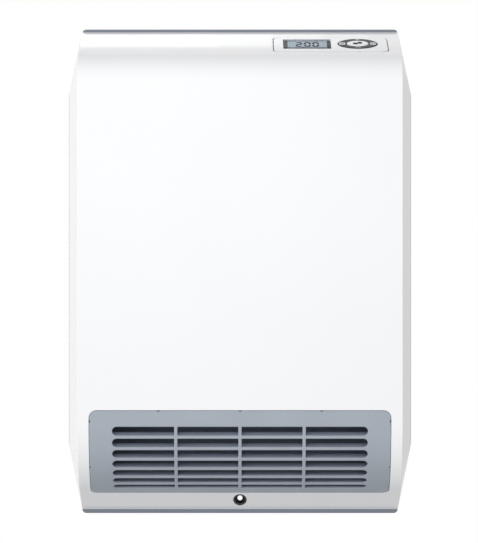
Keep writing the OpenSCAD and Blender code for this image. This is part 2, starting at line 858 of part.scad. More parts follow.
module bearing_bush() {
    color([0.72, 0.6, 0.35]) difference() {
        rod_x(5, left_plate_x - 2, left_plate_x + 3.4, fan_y, fan_z);
        rod_x(stub_r + run_gap, left_plate_x - 3, left_plate_x + 5, fan_y, fan_z);
    }
}

module bearing_rubber() {
    color([0.1, 0.1, 0.1]) difference() {
        rod_x(9, left_plate_x - 1, left_plate_x + 2.5, fan_y, fan_z);
        rod_x(5, left_plate_x - 2, left_plate_x + 4, fan_y, fan_z);
    }
}

// ---- Motor, about the fan's axis ----

stack_t = 16;
bolt_y = 17.5;
coil_bar_z = 38;

module motor_rotor() {
    color([0.6, 0.6, 0.62]) difference() {
        rod_x(rotor_r, motor_x - 9, motor_x + 9, fan_y, fan_z);
        rod_x(shaft_r, motor_x - 10, motor_x + 10, fan_y, fan_z);
    }
}

module motor_stator() {
    half_w = 22;
    color([0.5, 0.51, 0.53]) along_x(stack_t, motor_x) translate([fan_y, fan_z]) difference() {
        translate([-half_w, -19]) square([2 * half_w, 69]);
        circle(rotor_r + 0.4);
        translate([-13, 20]) square([26, coil_bar_z - 20]);
        for (y = [-1, 1]) translate([y * bolt_y, 0]) circle(1.6);
    }
}

module motor_coil() {
    bar_z = fan_z + coil_bar_z;
    coil = [30, 25, 30];
    bar = [stack_t + 0.2, coil[1] + 1, 12.2];
    color(copper) difference() {
        translate([motor_x - coil[0] / 2, fan_y - coil[1] / 2, bar_z - 9]) cube(coil);
        translate([motor_x - bar[0] / 2, fan_y - bar[1] / 2, bar_z - 0.1]) cube(bar);
    }
}

module motor_bridge(x, leg_x0, leg_x1) {
    half_w = 21;
    half_h = 7;
    difference() {
        union() {
            block(x, x + plate_t, fan_y - half_w, fan_y + half_w, fan_z - half_h, fan_z + half_h);
            rod_x(6, x - 1, x + plate_t + 1, fan_y, fan_z);
            for (y = [-1, 1]) rod_x(3, leg_x0, leg_x1, fan_y + y * bolt_y, fan_z);
        }
        rod_x(shaft_r + run_gap, x - 2, x + 4, fan_y, fan_z);
    }
}

module motor_brackets() {
    color(steel) {
        motor_bridge(motor_x - 14, right_plate_x + plate_t, motor_x - stack_t / 2);
        motor_bridge(motor_x + 12.5, motor_x + stack_t / 2, motor_x + 13);
    }
}

// ---- Heating element ----

frame_y0 = -94;
frame_y1 = -32;
frame_x0 = -120;
frame_x1 = 94;

module element_frame() {
    z = [-127, -117];
    wall = 1.5;
    ribs = 5;
    rib_t = 1.2;
    rib_pitch = (frame_x1 - frame_x0) / (ribs + 1);
    color(mica) {
        difference() {
            block(frame_x0, frame_x1, frame_y0, frame_y1, z[0], z[1]);
            block(frame_x0 + wall, frame_x1 - wall, frame_y0 + wall, frame_y1 - wall, z[0] - 1, z[1] + 1);
        }
        for (i = [1:ribs]) translate([frame_x0 + i * rib_pitch - rib_t / 2, frame_y0 + 1, z[0]])
            cube([rib_t, frame_y1 - frame_y0 - 2, element_z - 1 - z[0]]);
    }
}

module heating_wire() {
    wire_r = 0.9;
    pitch = 5.6;
    x0 = frame_x0 + 7;
    x1 = frame_x1 - 7;
    y0 = (frame_y0 + frame_y1) / 2 - pitch * (wire_runs - 1) / 2;
    color(copper) {
        for (i = [0:wire_runs - 1]) rod_x(wire_r, x0, x1, y0 + i * pitch, element_z);
        for (i = [0:wire_runs - 2]) translate([i % 2 == 0 ? x1 : x0, y0 + (i + 0.5) * pitch, element_z])
            rotate([0, 0, i % 2 == 0 ? -90 : 90]) rotate_extrude(angle = 180)
            translate([pitch / 2, 0]) circle(wire_r);
    }
}

module thermal_cutout() {
    x = 40;
    z = -96;
    color([0.86, 0.86, 0.84]) {
        rod_y(8, -103, tongue_front - 1.2, x, z);
        rod_y(6, tongue_front - 1.2, tongue_front, x, z);
        for (s = [-1, 1]) block(x + s * 3.5 - 1.5, x + s * 3.5 + 1.5, -107, -102.9, z - 0.4, z + 0.4);
    }
}

module thermal_fuse() {
    z = -96;
    color([0.9, 0.88, 0.8]) {
        rod_x(1.8, 66, 78, fuse_y, z);
        rod_x(0.5, 60, 84, fuse_y, z);
        block(69, 75, fuse_y + 1.1, tongue_front, z - 2, z + 2);
    }
}

module heat_shield() {
    shield_y = -112.4;
    sheet = 0.8;
    top = -44;
    color([0.8, 0.81, 0.83]) {
        block(-120, 93, shield_y, shield_y + sheet, -110, top);
        block(-120, 93, shield_y, shield_y + 6.4, top - sheet, top);
    }
}

// Dark box that leads the hot air from the element to the grille
module outlet_duct() {
    reach = bottom_r - slat_depth - 3.5;
    front = -106;
    back = -29;
    throat = concat([[front, duct_top], [front, duct_top - 16]],
        arc(low_cy, low_cz, reach, 182, 249, 12), [[-52, -201], [back, -150], [back, duct_top]]);
    color(dark_grey) {
        for (x = [-1, 1]) along_x(sheet_t, x * (duct_half + sheet_t / 2)) polygon(throat);
        along_x(2 * duct_half + 0.2) {
            polygon([[back, duct_top], [back + sheet_t, duct_top], [back + sheet_t, -150], [-51, -202.4],
                [-66, -204], [-66, -202.8], [-52, -201.2], [back, -150.2]]);
            polygon([[front, duct_top], [-97.3, duct_top], [-97.3, duct_top - sheet_t],
                [front + sheet_t, duct_top - sheet_t], [front + sheet_t, duct_top - 15],
                [front, duct_top - 15]]);
        }
        // lid beside the blower
        block(right_plate_x + plate_t + 0.1, duct_half + 0.1, -97.4, back + 1, duct_top - sheet_t, duct_top);
    }
}

// ---- Room sensor ----

module sensor_clip() {
    color(white) difference() {
        union() {
            block(sensor_x - 5, sensor_x + 7, rear_y - 2, rear_y, -185, -165);
            block(sensor_x - 3, sensor_x + 3, -34, rear_y, -178, -172);
        }
        translate([sensor_x, sensor_y, -180]) cylinder(h = 12, r = 2.3);
    }
}

module room_sensor() {
    bead_r = 2.2;
    color([0.12, 0.12, 0.12]) translate([sensor_x, sensor_y, -182]) {
        cylinder(h = 14, r = bead_r);
        sphere(bead_r);
    }
}

// ---- Internal wiring ----

module supply_leads() {
    lead_colours = ["saddlebrown", "steelblue", "yellowgreen"];
    for (i = [0:2]) color(lead_colours[i])
        tube(curve([131 + i * 4, -27, -105.8], [131 + i * 4, -27, -40], [98 - i * 5.5, -44, -10],
            [98 - i * 5.5, plug_y, lead_end_z], 12), 1.3, [1, 0.2, 0]);
}

module motor_leads() {
    color("black") for (i = [0:1])
        tube(curve([motor_x - 4 + i * 8, fan_y, -10.7], [motor_x - 4 + i * 8, fan_y, 15],
            [77 - i * 6, -44, 10], [77 - i * 6, plug_y, lead_end_z], 10), 1, [1, 0.2, 0]);
}

module element_leads() {
    starts = [[43.5, -105, -95.4], [85.3, fuse_y, -96]];
    color("firebrick") for (i = [0:1])
        tube(curve(starts[i], [starts[i][0], -104, -10], [51 + i * 6, -46, 0],
            [51 + i * 6, plug_y, lead_end_z], 12), 1.1, [1, 0, 0.1]);
}

module sensor_lead() {
    color("grey") tube(curve([sensor_x, sensor_y, -167.9], [sensor_x, sensor_y, -60], [sensor_x, -26, 80],
        [-20.3, plug_y, sensor_plug_z], 14), 0.9, [0.3, 1, 0]);
}

module panel_ribbon() {
    color([0.8, 0.8, 0.82]) tube(curve([ribbon_x, -57.8, 194.1], [ribbon_x, -51, 172],
        [40, -42, 150], [40, plug_y, ribbon_plug_z + 0.5], 10), 0.6, [0, 1, 0], 8, 8);
}

front_cover();
cover_sill();
outlet_grille();
rear_housing();
wall_bracket();
screw_tunnel();
cover_screws();
cable_grommet();
control_panel();
display_lens();
lcd_module();
control_ring();
select_button();
menu_button();
power_button();
tact_switches();
control_board();
controller_chip();
alarm_buzzer();
board_screws();
panel_ribbon();
power_board();
power_board_screws();
relays();
transformer();
capacitor();
mains_fuse();
wire_connectors();
terminal_block();
blower_scroll();
blower_tongue();
left_end_plate();
right_end_plate();
blower_screws();
fan_impeller();
drive_shaft();
bearing_stub();
bearing_bush();
bearing_rubber();
motor_rotor();
motor_stator();
motor_coil();
motor_brackets();
element_frame();
heating_wire();
thermal_cutout();
thermal_fuse();
heat_shield();
outlet_duct();
room_sensor();
sensor_clip();
supply_leads();
motor_leads();
element_leads();
sensor_lead();
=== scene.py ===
"""Fan convector heater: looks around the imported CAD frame.

Lengths in the shape code are millimetres in the frame's own axes (+X right, -Y front, +Z up,
the wall at Y = 0); make_piece() scales every finished mesh to metres. Materials, soften(),
camera, lights and floor are in metres.
"""
import math

import bmesh
import bpy
from mathutils import Matrix, Vector


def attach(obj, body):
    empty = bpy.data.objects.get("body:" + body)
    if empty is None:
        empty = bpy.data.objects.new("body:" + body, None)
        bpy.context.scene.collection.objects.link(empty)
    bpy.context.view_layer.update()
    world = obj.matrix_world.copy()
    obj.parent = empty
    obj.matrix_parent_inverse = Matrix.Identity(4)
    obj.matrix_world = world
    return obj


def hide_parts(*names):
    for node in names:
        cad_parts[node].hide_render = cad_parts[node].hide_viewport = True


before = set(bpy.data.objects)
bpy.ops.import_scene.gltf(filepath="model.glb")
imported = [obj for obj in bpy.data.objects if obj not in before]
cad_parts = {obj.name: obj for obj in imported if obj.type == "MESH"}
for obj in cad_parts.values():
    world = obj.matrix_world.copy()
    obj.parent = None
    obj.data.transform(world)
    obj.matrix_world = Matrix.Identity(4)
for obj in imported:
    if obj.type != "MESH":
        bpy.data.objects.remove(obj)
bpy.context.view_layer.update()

# ---------------------------------------------------------------- sizes
# As in the CAD source, except for the panel's plate, corners and gaps and the slots' width, which
# were fitted to the photo; the outlet insert's notches further down are not in the CAD either
FRONT_W, REAR_W = 304.0, 330.0
TOP_Z, BOTTOM_Z = 230.5, 229.3
REAR_Y, FRONT_Y = -18.0, -118.0
WALL = 2.5
TOP_SLOPE, BOTTOM_SLOPE = math.radians(17.9), math.radians(22.2)
TOP_R, BOTTOM_R = 30.0, 72.0
FLARE_TOP, FLARE_BOTTOM = 170.0, 166.0
GAP, PANEL_GAP, PANEL_FRONT_GAP = 0.3, 0.7, 2.4

TOP_C = (FRONT_Y + TOP_R,
         TOP_Z + (FRONT_Y + TOP_R - REAR_Y) * math.tan(TOP_SLOPE) - TOP_R / math.cos(TOP_SLOPE))
LOW_C = (FRONT_Y + BOTTOM_R,
         -BOTTOM_Z - (FRONT_Y + BOTTOM_R - REAR_Y) * math.tan(BOTTOM_SLOPE)
         + BOTTOM_R / math.cos(BOTTOM_SLOPE))
LOW_SWEEP = math.pi / 2 - BOTTOM_SLOPE

GRILLE_W, GRILLE_TOP, GRILLE_RUN, GRILLE_CORNER, GRILLE_T = 282.0, -130.1, 10.0, 7.0, 2.2
ROWS, SLOT_FIRST, SLOT_STEP = 7, math.radians(7.4), math.radians(9.1)
SLOT_H, SLOT_W = 8.3, 239.0
BAR_XS, BAR_W = (-60.0, 0.0, 60.0), 3.1
SLAT_DEPTH, SLAT_RISE, SLAT_T = 8.0, math.radians(22), 1.4

PANEL_W, PANEL_L, PANEL_CORNER = 107.9, 54.0, 7.5
PANEL_X, PANEL_S, CONTROLS_V, PLATE_X = 85.6, 48.9, 2.4, 0.3
WINDOW_X, WINDOW_W, WINDOW_L = -21.9, 45.4, 38.0
RING_X, RING_R, SELECT_R, SIDE_X = 26.2, 18.85, 10.3, 14.6
SIDE_KEY = (6.1, 9.5)

LOCK_Z, TUNNEL_R = -218.4, 6.1


# ---------------------------------------------------------------- flat outlines, anticlockwise
def arc(cx, cy, r, start, end, steps):
    """Points on an arc; angles in radians."""
    return [(cx + r * math.cos(start + (end - start) * i / steps),
             cy + r * math.sin(start + (end - start) * i / steps)) for i in range(steps + 1)]


def circle(r, x=0.0, y=0.0, steps=64):
    return arc(x, y, r, 0, 2 * math.pi, steps)[:-1]


def rounded(w, l, r, x=0.0, y=0.0, steps=8):
    a, b = w / 2 - r, l / 2 - r
    points = []
    for i, (cx, cy) in enumerate(((a, b), (-a, b), (-a, -b), (a, -b))):
        points += arc(x + cx, y + cy, r, i * math.pi / 2, (i + 1) * math.pi / 2, steps)
    return points


def rect(w, l, x=0.0, y=0.0):
    return [(x + a * w / 2, y + b * l / 2) for a, b in ((1, 1), (-1, 1), (-1, -1), (1, -1))]


def lens_shape(w, l, x, y):
    return [(x + w / 2 * a, y + l / 2 * b) for a, b in circle(1, steps=24)]


def ring_band(outer, inner, start, end, x=0.0, y=0.0, steps=24):
    """A bent bar between two radii."""
    return (arc(x, y, outer, start, end, steps)
            + list(reversed(arc(x, y, inner, start, end, steps))))


# ---------------------------------------------------------------- frames for outlines
def panel_frame(x=0.0, v=0.0):
    """X across, Y up the top face, Z out of it, from the control panel's centre."""
    centre = (PANEL_X, REAR_Y - PANEL_S * math.cos(TOP_SLOPE), TOP_Z - PANEL_S * math.sin(TOP_SLOPE))
    slope = Matrix.Rotation(TOP_SLOPE, 4, "X")
    return Matrix.Translation(centre) @ slope @ Matrix.Translation((x, v, 0))


def bend_frame(angle):
    """X across, Y up the bottom bend, Z out of it, at an angle round the bend."""
    return (Matrix.Translation((0, *LOW_C)) @ Matrix.Rotation(math.pi / 2 + angle, 4, "X")
            @ Matrix.Translation((0, 0, BOTTOM_R)))


# For (Y, Z) outlines drawn out along X, and for (X, Z) outlines drawn out to the front
ALONG_X = Matrix(((0, 0, 1, 0), (1, 0, 0, 0), (0, 1, 0, 0), (0, 0, 0, 1)))
FRONTAL = Matrix.Rotation(math.pi / 2, 4, "X")


# ---------------------------------------------------------------- mesh tools
FLAT_ANGLE = math.radians(0.05)


def prism(bm, outline, z0, z1, matrix):
    low = [bm.verts.new(matrix @ Vector((x, y, z0))) for x, y in outline]
    high = [bm.verts.new(matrix @ Vector((x, y, z1))) for x, y in outline]
    bm.faces.new(list(reversed(low)))
    bm.faces.new(high)
    for i in range(len(outline)):
        j = (i + 1) % len(outline)
        bm.faces.new((low[i], low[j], high[j], high[i]))


def to_object(name, bm):
    bmesh.ops.recalc_face_normals(bm, faces=bm.faces)
    mesh = bpy.data.meshes.new(name)
    bm.to_mesh(mesh)
    bm.free()
    obj = bpy.data.objects.new(name, mesh)
    bpy.context.scene.collection.objects.link(obj)
    return obj


def lathe(name, profile, matrix):
    """Turns a closed (radius, height) profile round Z. A radius of 0 becomes one point."""
    bm = bmesh.new()
    steps = 96
    rings = []
    for r, z in profile:
        outline = circle(r, steps=steps) if r else [(0, 0)]
        rings.append([bm.verts.new(matrix @ Vector((x, y, z))) for x, y in outline])
    for i in range(len(rings)):
        a, b = rings[i], rings[(i + 1) % len(rings)]
        if len(a) == 1 and len(b) == 1:
            continue
        for k in range(steps):
            m = (k + 1) % steps
            corners = [a[k % len(a)], a[m % len(a)], b[m % len(b)], b[k % len(b)]]
            bm.faces.new(list(dict.fromkeys(corners)))
    return to_object(name, bm)


def prisms(name, parts):
    """One object from several (outline, z0, z1, matrix) prisms that don't touch."""
    bm = bmesh.new()
    for outline, z0, z1, matrix in parts:
        prism(bm, outline, z0, z1, matrix)
    return to_object(name, bm)


def bake(obj):
    """Applies an object's modifiers to its mesh."""
    graph = bpy.context.evaluated_depsgraph_get()
    mesh = bpy.data.meshes.new_from_object(obj.evaluated_get(graph))
    obj.modifiers.clear()
    obj.data = mesh
    return obj


def combine(obj, operation, others):
    """Boolean of obj with each of the others, which are used up."""
    for other in others:
        modifier = obj.modifiers.new("boolean", "BOOLEAN")
        modifier.operation = operation
        modifier.solver = "EXACT"
        modifier.object = other
        bake(obj)
        bpy.data.objects.remove(other)
    return obj


def bevel(obj, width, segments=3, angle=40):
    """Joins faces that lie in one plane, then rounds the edges sharper than the angle in degrees."""
    bm = bmesh.new()
    bm.from_mesh(obj.data)
    bmesh.ops.remove_doubles(bm, verts=bm.verts, dist=0.02)
    bmesh.ops.dissolve_limit(bm, angle_limit=FLAT_ANGLE, verts=bm.verts, edges=bm.edges)
    bm.to_mesh(obj.data)
    bm.free()
    modifier = obj.modifiers.new("bevel", "BEVEL")
    modifier.use_clamp_overlap = False
    modifier.width = width
    modifier.segments = segments
    modifier.limit_method = "ANGLE"
    modifier.angle_limit = math.radians(angle)
    return bake(obj)


def settle_normals(mesh, flat_area, sharp):
    """Keeps faces over flat_area truly flat and lets the small faces round them blend into them."""
    touching = [[] for _ in mesh.vertices]
    for face in mesh.polygons:
        for v in face.vertices:
            touching[v].append(face)
    limit = math.cos(math.radians(sharp))
    normals = []
    for face in mesh.polygons:
        for v in face.vertices:
            near = [f for f in touching[v] if f.normal.dot(face.normal) > limit]
            flats = [f for f in near if f.area > flat_area]
            if face.area > flat_area:
                normals.append(face.normal.copy())
            elif flats:
                normals.append(max(flats, key=lambda f: f.area).normal.copy())
            else:
                normals.append(sum((f.normal * f.area for f in near), Vector()).normalized())
    mesh.normals_split_custom_set(normals)


def make_piece(obj, body, material, replaces=(), sharp=40, flat_area=0):
    """Scales a finished mesh to metres, shades it and puts it on its CAD body."""
    obj.data.transform(Matrix.Scale(0.001, 4))
    obj.data.shade_smooth()
    if flat_area:
        settle_normals(obj.data, flat_area * 1e-6, sharp)
    else:
        obj.data.set_sharp_from_angle(angle=math.radians(sharp))
        modifier = obj.modifiers.new("normals", "WEIGHTED_NORMAL")
        modifier.keep_sharp = True
        bake(obj)
    obj.data.materials.clear()
    obj.data.materials.append(material)
    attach(obj, body)
    if replaces:
        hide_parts(*replaces)
    return obj


# ---------------------------------------------------------------- materials
def linear(r, g, b):
    """An sRGB colour, 0 to 255, as a linear RGBA value."""
    def channel(c):
        c /= 255
        return c / 12.92 if c <= 0.04045 else ((c + 0.055) / 1.055) ** 2.4
    return (channel(r), channel(g), channel(b), 1)


def material(name, colour, rough, metal=0.0, coat=0.0, mottle=0.05, mottle_scale=60.0, rough_span=0.06,
             grain_scale=900.0, grain_depth=0.00002, stretch=(1, 1, 1), specular=0.5, transmission=0.0,
             ior=1.5, second=None, pattern=None):
    """Moulded, painted or metal surface: colour mottling, uneven gloss and a fine grain in its relief.

    The colour varies a little round itself, or to the second colour; the pattern says where.
    """
    m = bpy.data.materials.new(name)
    m.use_nodes = True
    nodes, links = m.node_tree.nodes, m.node_tree.links
    shader = nodes["Principled BSDF"]
    shader.inputs["Metallic"].default_value = metal
    shader.inputs["Coat Weight"].default_value = coat
    shader.inputs["Coat Roughness"].default_value = 0.12
    shader.inputs["Specular IOR Level"].default_value = specular
    shader.inputs["Transmission Weight"].default_value = transmission
    shader.inputs["IOR"].default_value = ior

    place = nodes.new("ShaderNodeTexCoord")
    mapping = nodes.new("ShaderNodeMapping")
    mapping.inputs["Scale"].default_value = stretch
    links.new(place.outputs["Object"], mapping.inputs["Vector"])

    def noise(scale, detail):
        n = nodes.new("ShaderNodeTexNoise")
        n.inputs["Scale"].default_value = scale
        n.inputs["Detail"].default_value = detail
        links.new(mapping.outputs["Vector"], n.inputs["Vector"])
        return n.outputs["Fac"]

    def ranged(value, low, high):
        r = nodes.new("ShaderNodeMapRange")
        r.inputs["From Min"].default_value = 0.3
        r.inputs["From Max"].default_value = 0.7
        r.inputs["To Min"].default_value = low
        r.inputs["To Max"].default_value = high
        links.new(value, r.inputs["Value"])
        return r.outputs["Result"]

    mix = nodes.new("ShaderNodeMix")
    mix.data_type = "RGBA"
    other = second or tuple(min(1, c * (1 + mottle)) for c in colour[:3]) + (1,)
    first = colour if second else tuple(c * (1 - mottle) for c in colour[:3]) + (1,)
    mix.inputs["A"].default_value = first
    mix.inputs["B"].default_value = other
    if pattern is None:
        links.new(ranged(noise(mottle_scale, 4), 0, 1), mix.inputs["Factor"])
    else:
        links.new(pattern(nodes, links, mapping.outputs["Vector"]), mix.inputs["Factor"])
    links.new(mix.outputs["Result"], shader.inputs["Base Color"])
    smoothest, roughest = max(rough - rough_span, 0.01), min(rough + rough_span, 1)
    links.new(ranged(noise(mottle_scale * 1.7, 3), smoothest, roughest), shader.inputs["Roughness"])
    bump = nodes.new("ShaderNodeBump")
    bump.inputs["Strength"].default_value = 0.6
    bump.inputs["Distance"].default_value = grain_depth
    links.new(noise(grain_scale, 5), bump.inputs["Height"])
    links.new(bump.outputs["Normal"], shader.inputs["Normal"])
    return m


def stripes(scale, axis):
    """Pattern for material(): bands such as wire turns or stacked sheets."""
    def build(nodes, links, vector):
        wave = nodes.new("ShaderNodeTexWave")
        wave.bands_direction = axis
        wave.inputs["Scale"].default_value = scale
        wave.inputs["Distortion"].default_value = 0.6
        links.new(vector, wave.inputs["Vector"])
        return wave.outputs["Fac"]
    return build


def tracks(scale):
    """Pattern for material(): islands like copper pads under solder mask."""
    def build(nodes, links, vector):
        cells = nodes.new("ShaderNodeTexVoronoi")
        cells.distance = "CHEBYCHEV"
        cells.inputs["Scale"].default_value = scale
        links.new(vector, cells.inputs["Vector"])
        ramp = nodes.new("ShaderNodeMapRange")
        ramp.inputs["From Min"].default_value = 0.18
        ramp.inputs["From Max"].default_value = 0.24
        links.new(cells.outputs["Distance"], ramp.inputs["Value"])
        return ramp.outputs["Result"]
    return build


CASE_WHITE = (0.87, 0.875, 0.89, 1)
M = {
    "cover": material("cover_white_plastic", CASE_WHITE, 0.09, mottle=0.006, mottle_scale=9,
                      rough_span=0.02, grain_scale=700, grain_depth=0.000001, specular=0.4),
    "grille": material("grille_plastic", linear(160, 168, 177), 0.42, mottle=0.03, mottle_scale=30,
                       grain_scale=1600, grain_depth=0.00002, specular=0.35),
    # A darker, bluer copy of the grille's plastic: painted shade on the slats inside the slots
    "louvre": material("louvre_plastic_painted_shade", linear(150, 160, 178), 0.45, mottle=0.03, mottle_scale=30,
                       grain_scale=1600, grain_depth=0.00002, specular=0.35),
    "housing": material("housing_plastic", linear(126, 132, 143), 0.5, mottle=0.04, mottle_scale=25,
                        grain_scale=1500, grain_depth=0.00003, specular=0.3),
    "ring": material("ring_dark_plastic", linear(62, 66, 73), 0.45, mottle=0.05, grain_scale=2500,
                     grain_depth=0.00001, specular=0.12),
    "tunnel": material("tunnel_black_plastic", linear(24, 24, 27), 0.45, mottle=0.08, grain_scale=2000),
    "button": material("button_white_plastic", (0.9, 0.9, 0.91, 1), 0.3, mottle=0.01, grain_scale=1800,
                       grain_depth=0.000005),
    "panel": material("panel_white_plastic", CASE_WHITE, 0.11, mottle=0.008, grain_scale=1200,
                      rough_span=0.02, grain_depth=0.000001, specular=0.4),
    "lens": material("lens_clear_plastic", (0.97, 0.985, 1, 1), 0.03, transmission=1.0, ior=1.03,
                     mottle=0.003, rough_span=0.01, grain_depth=0, specular=0.2),
    "lcd": material("lcd_glass_grey", linear(178, 194, 206), 0.4, mottle=0.03, mottle_scale=90,
                    grain_scale=3000, grain_depth=0.000004, specular=0.05),
    # A darker copy of the display glass: painted shade along the display's lower edge
    "lcd_shade": material("lcd_glass_painted_shade", linear(92, 104, 113), 0.4, mottle=0.03, mottle_scale=90,
                          grain_scale=3000, grain_depth=0.000004, specular=0.05),
    "ink": material("ink_dark", linear(14, 17, 24), 0.6, mottle=0.1, mottle_scale=400, grain_scale=3000,
                    specular=0.05),
    "ink_light": material("ink_light", linear(205, 208, 212), 0.5, mottle=0.04, mottle_scale=400,
                          grain_scale=3000),
    "ink_grey": material("ink_grey", linear(52, 56, 62), 0.6, mottle=0.06, mottle_scale=400,
                         grain_scale=3000, specular=0.1),
    "mask": material("display_mask", linear(48, 53, 61), 0.5, mottle=0.06, grain_scale=2500,
                     specular=0.05),
    "dark": material("dark_moulding", linear(42, 44, 48), 0.5, mottle=0.1, grain_scale=1300),
    "duct": material("duct_plastic", linear(92, 102, 118), 0.5, mottle=0.08, mottle_scale=20,
                     grain_scale=1300),
    # Dark grey for the panel's flange: painted shade, so the gap round the panel shows as a dark line
    "gap_shade": material("panel_gap_painted_shade", linear(60, 63, 70), 0.7, mottle=0.1, grain_scale=1300,
                       specular=0.1),
    "steel": material("zinc_plated_steel", linear(178, 182, 188), 0.34, metal=1.0, mottle=0.12,
                      mottle_scale=220, rough_span=0.1, grain_scale=1400),
    "brushed": material("brushed_steel", linear(186, 188, 192), 0.3, metal=1.0, mottle=0.1,
                        mottle_scale=160, stretch=(1, 14, 14), rough_span=0.1),
    "aluminium": material("aluminium_foil", linear(205, 207, 210), 0.22, metal=1.0, mottle=0.06,
                          mottle_scale=90, rough_span=0.08, grain_scale=260, grain_depth=0.0002),
    "rubber": material("rubber_black", linear(26, 26, 27), 0.8, mottle=0.15, grain_scale=1800,
                       grain_depth=0.00006, specular=0.2),
    "bronze": material("sintered_bronze", linear(168, 130, 74), 0.4, metal=1.0, mottle=0.15,
                       mottle_scale=900, grain_scale=4000),
    "winding": material("copper_winding", linear(150, 78, 36), 0.3, metal=0.8,
                        second=linear(92, 42, 18), pattern=stripes(900, "Z"), grain_scale=2500,
                        coat=0.4),
    "element": material("heating_alloy", linear(120, 112, 104), 0.45, metal=1.0,
                        second=linear(86, 66, 58), mottle_scale=140, rough_span=0.12, grain_scale=2600),
    "mica": material("mica_board", linear(176, 158, 120), 0.55, second=linear(140, 122, 90),
                     mottle_scale=420, grain_scale=1200, grain_depth=0.00008, coat=0.2),
    "board": material("solder_mask_green", linear(26, 88, 52), 0.32, second=linear(18, 62, 38),
                      pattern=tracks(260), grain_scale=900, coat=0.3),
    "chip": material("epoxy_dark", linear(30, 31, 33), 0.55, mottle=0.12, mottle_scale=500,
                     grain_scale=3500, grain_depth=0.00004),
    "blue": material("relay_blue", linear(38, 82, 140), 0.38, mottle=0.07, grain_scale=1500),
    "ceramic": material("ceramic_white", linear(222, 219, 208), 0.4, mottle=0.04, mottle_scale=300,
                        grain_scale=1500, grain_depth=0.00003),
    "stack": material("stator_steel", linear(122, 126, 130), 0.45, metal=1.0, second=linear(84, 87, 90),
                      pattern=stripes(1000, "X"), grain_scale=1800),
    "lead": material("lead_insulation", linear(120, 60, 40), 0.42, second=linear(38, 66, 110),
                     mottle_scale=45, grain_scale=1800, specular=0.4),
}

NODE_MATERIALS = {
    "housing": ["rear_housing"],
    "tunnel": ["screw_tunnel"],
    "steel": ["wall_bracket", "cover_screws", "board_screws", "power_board_screws", "blower_screws",
              "motor_brackets", "left_end_plate", "right_end_plate"],
    "brushed": ["blower_scroll", "blower_tongue", "drive_shaft", "bearing_stub", "motor_rotor"],
    "aluminium": ["heat_shield"],
    "rubber": ["cable_grommet", "bearing_rubber"],
    "bronze": ["bearing_bush"],
    "winding": ["motor_coil"],
    "stack": ["motor_stator"],
    "element": ["heating_wire"],
    "mica": ["element_frame"],
    "board": ["control_board", "power_board"],
    "chip": ["controller_chip", "alarm_buzzer", "transformer", "room_sensor", "tact_switches"],
    "blue": ["relays", "capacitor"],
    "ceramic": ["mains_fuse", "thermal_cutout", "thermal_fuse", "terminal_block", "wire_connectors",
                "sensor_clip"],
    "dark": ["fan_impeller"],
    "duct": ["outlet_duct"],
    "lead": ["supply_leads", "motor_leads", "element_leads", "sensor_lead", "panel_ribbon"],
}
for key, names in NODE_MATERIALS.items():
    for name in names:
        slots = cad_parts[name].data.materials
        slots.clear()
        slots.append(M[key])


def soften(name, width):
    """Breaks the edges of a CAD node that stays in view, without touching its mesh."""
    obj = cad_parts[name]
    weld = obj.modifiers.new("weld", "WELD")
    weld.merge_threshold = 0.000005
    edge = obj.modifiers.new("bevel", "BEVEL")
    edge.width = width
    edge.segments = 2
    edge.limit_method = "ANGLE"
    edge.angle_limit = math.radians(35)
    normals = obj.modifiers.new("normals", "WEIGHTED_NORMAL")
    normals.keep_sharp = False


for name, width in (("rear_housing", 0.0005), ("wall_bracket", 0.0004), ("screw_tunnel", 0.0003),
                    ("cable_grommet", 0.0004), ("cover_screws", 0.0002)):
    soften(name, width)


# ---------------------------------------------------------------- front cover
def cover_outline(inset):
    """Side profile in (Y, Z): rear edge, top bend, front, bottom bend, rear edge."""
    return ([(REAR_Y, TOP_Z - inset / math.cos(TOP_SLOPE))]
            + arc(*TOP_C, TOP_R - inset, math.pi / 2 + TOP_SLOPE, math.pi, 36)
            + arc(*LOW_C, BOTTOM_R - inset, math.pi, math.pi + LOW_SWEEP, 60)
            + [(REAR_Y, -BOTTOM_Z + inset / math.cos(BOTTOM_SLOPE))])


def flare_outline(inset):
    """Rear edge in (X, Z)."""
    front, rear = FRONT_W / 2 - inset, REAR_W / 2 - inset
    top, low = TOP_Z - inset, inset - BOTTOM_Z
    right = [(front, low), (rear, -FLARE_BOTTOM), (rear, FLARE_TOP), (front, top)]
    return right + [(-x, z) for x, z in reversed(right)]


def cover_body(name, inset, extra):
    """The cover as a solid, smaller by the inset and drawn out behind its rear edge by extra."""
    bm = bmesh.new()
    for x in (inset - FRONT_W / 2, FRONT_W / 2 - inset):
        for y, z in cover_outline(inset):
            bm.verts.new((x, y, z))
    for x, z in flare_outline(inset):
        for y in {REAR_Y, REAR_Y + extra}:
            bm.verts.new((x, y, z))
    bmesh.ops.remove_doubles(bm, verts=bm.verts, dist=0.001)
    hull = bmesh.ops.convex_hull(bm, input=bm.verts)
    left_over = hull["geom_unused"] + hull["geom_interior"]
    unused = {part for part in left_over if isinstance(part, bmesh.types.BMVert)}
    bmesh.ops.delete(bm, geom=list(unused), context="VERTS")
    bmesh.ops.dissolve_limit(bm, angle_limit=FLAT_ANGLE, verts=bm.verts, edges=bm.edges)
    return to_object(name, bm)


BEND_START = GRILLE_TOP - LOW_C[1]
BEND_END = BEND_START + BOTTOM_R * LOW_SWEEP
GRILLE_L = BEND_END + GRILLE_RUN
STRIP = 1.4


def onto_bend(co):
    """Wraps a flat (X, up, outwards) point, measured from the insert's upper edge, onto the cover."""
    x, v, n = co
    s = -v
    if s < BEND_START:
        return Vector((x, FRONT_Y - n, GRILLE_TOP - s))
    angle = min((s - BEND_START) / BOTTOM_R, LOW_SWEEP)
    run = max(s - BEND_END, 0)
    r = BOTTOM_R + n
    return Vector((x, LOW_C[0] - r * math.cos(angle) + run * math.sin(angle),
                   LOW_C[1] - r * math.sin(angle) - run * math.cos(angle)))


